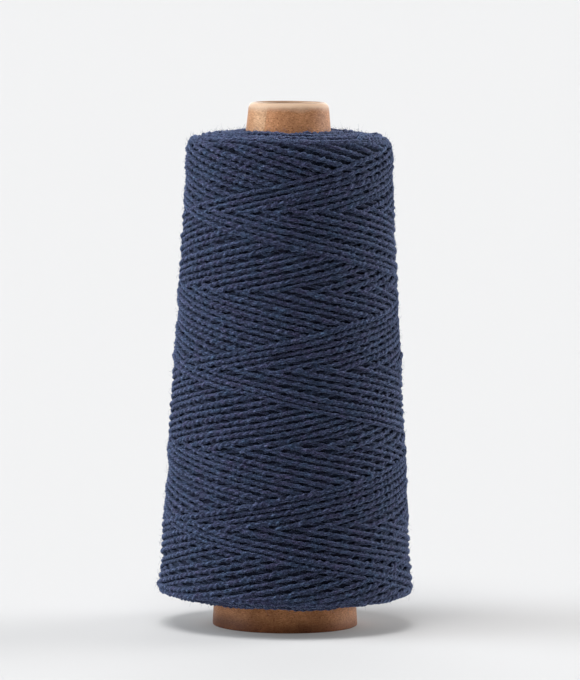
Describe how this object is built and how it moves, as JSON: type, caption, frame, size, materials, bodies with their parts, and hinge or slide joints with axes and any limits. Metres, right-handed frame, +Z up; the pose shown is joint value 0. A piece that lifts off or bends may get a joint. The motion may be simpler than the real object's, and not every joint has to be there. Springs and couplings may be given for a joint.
{
  "type": "cone of sewing thread",
  "caption": "Tapered kraft-paper textile cone with an open bore, cross-wound with navy slub cotton thread, standing on its flat base ring.",
  "frame": {"origin": "centre of the paper cone's base ring, on the surface that it stands on", "axes": "+Z up along the cone's axis to its nose; -Y is the side seen from the front"},
  "size_m": [0.0828, 0.0828, 0.17],
  "materials": {
    "kraft_paper": "matte kraft paperboard, burnished to a slight shine at the nose",
    "navy_cotton": "matte slub cotton thread, twisted from two plies"
  },
  "bodies": {
    "root": {"paper_cone": "kraft_paper", "thread_winding": "navy_cotton"}
  },
  "joints": []
}
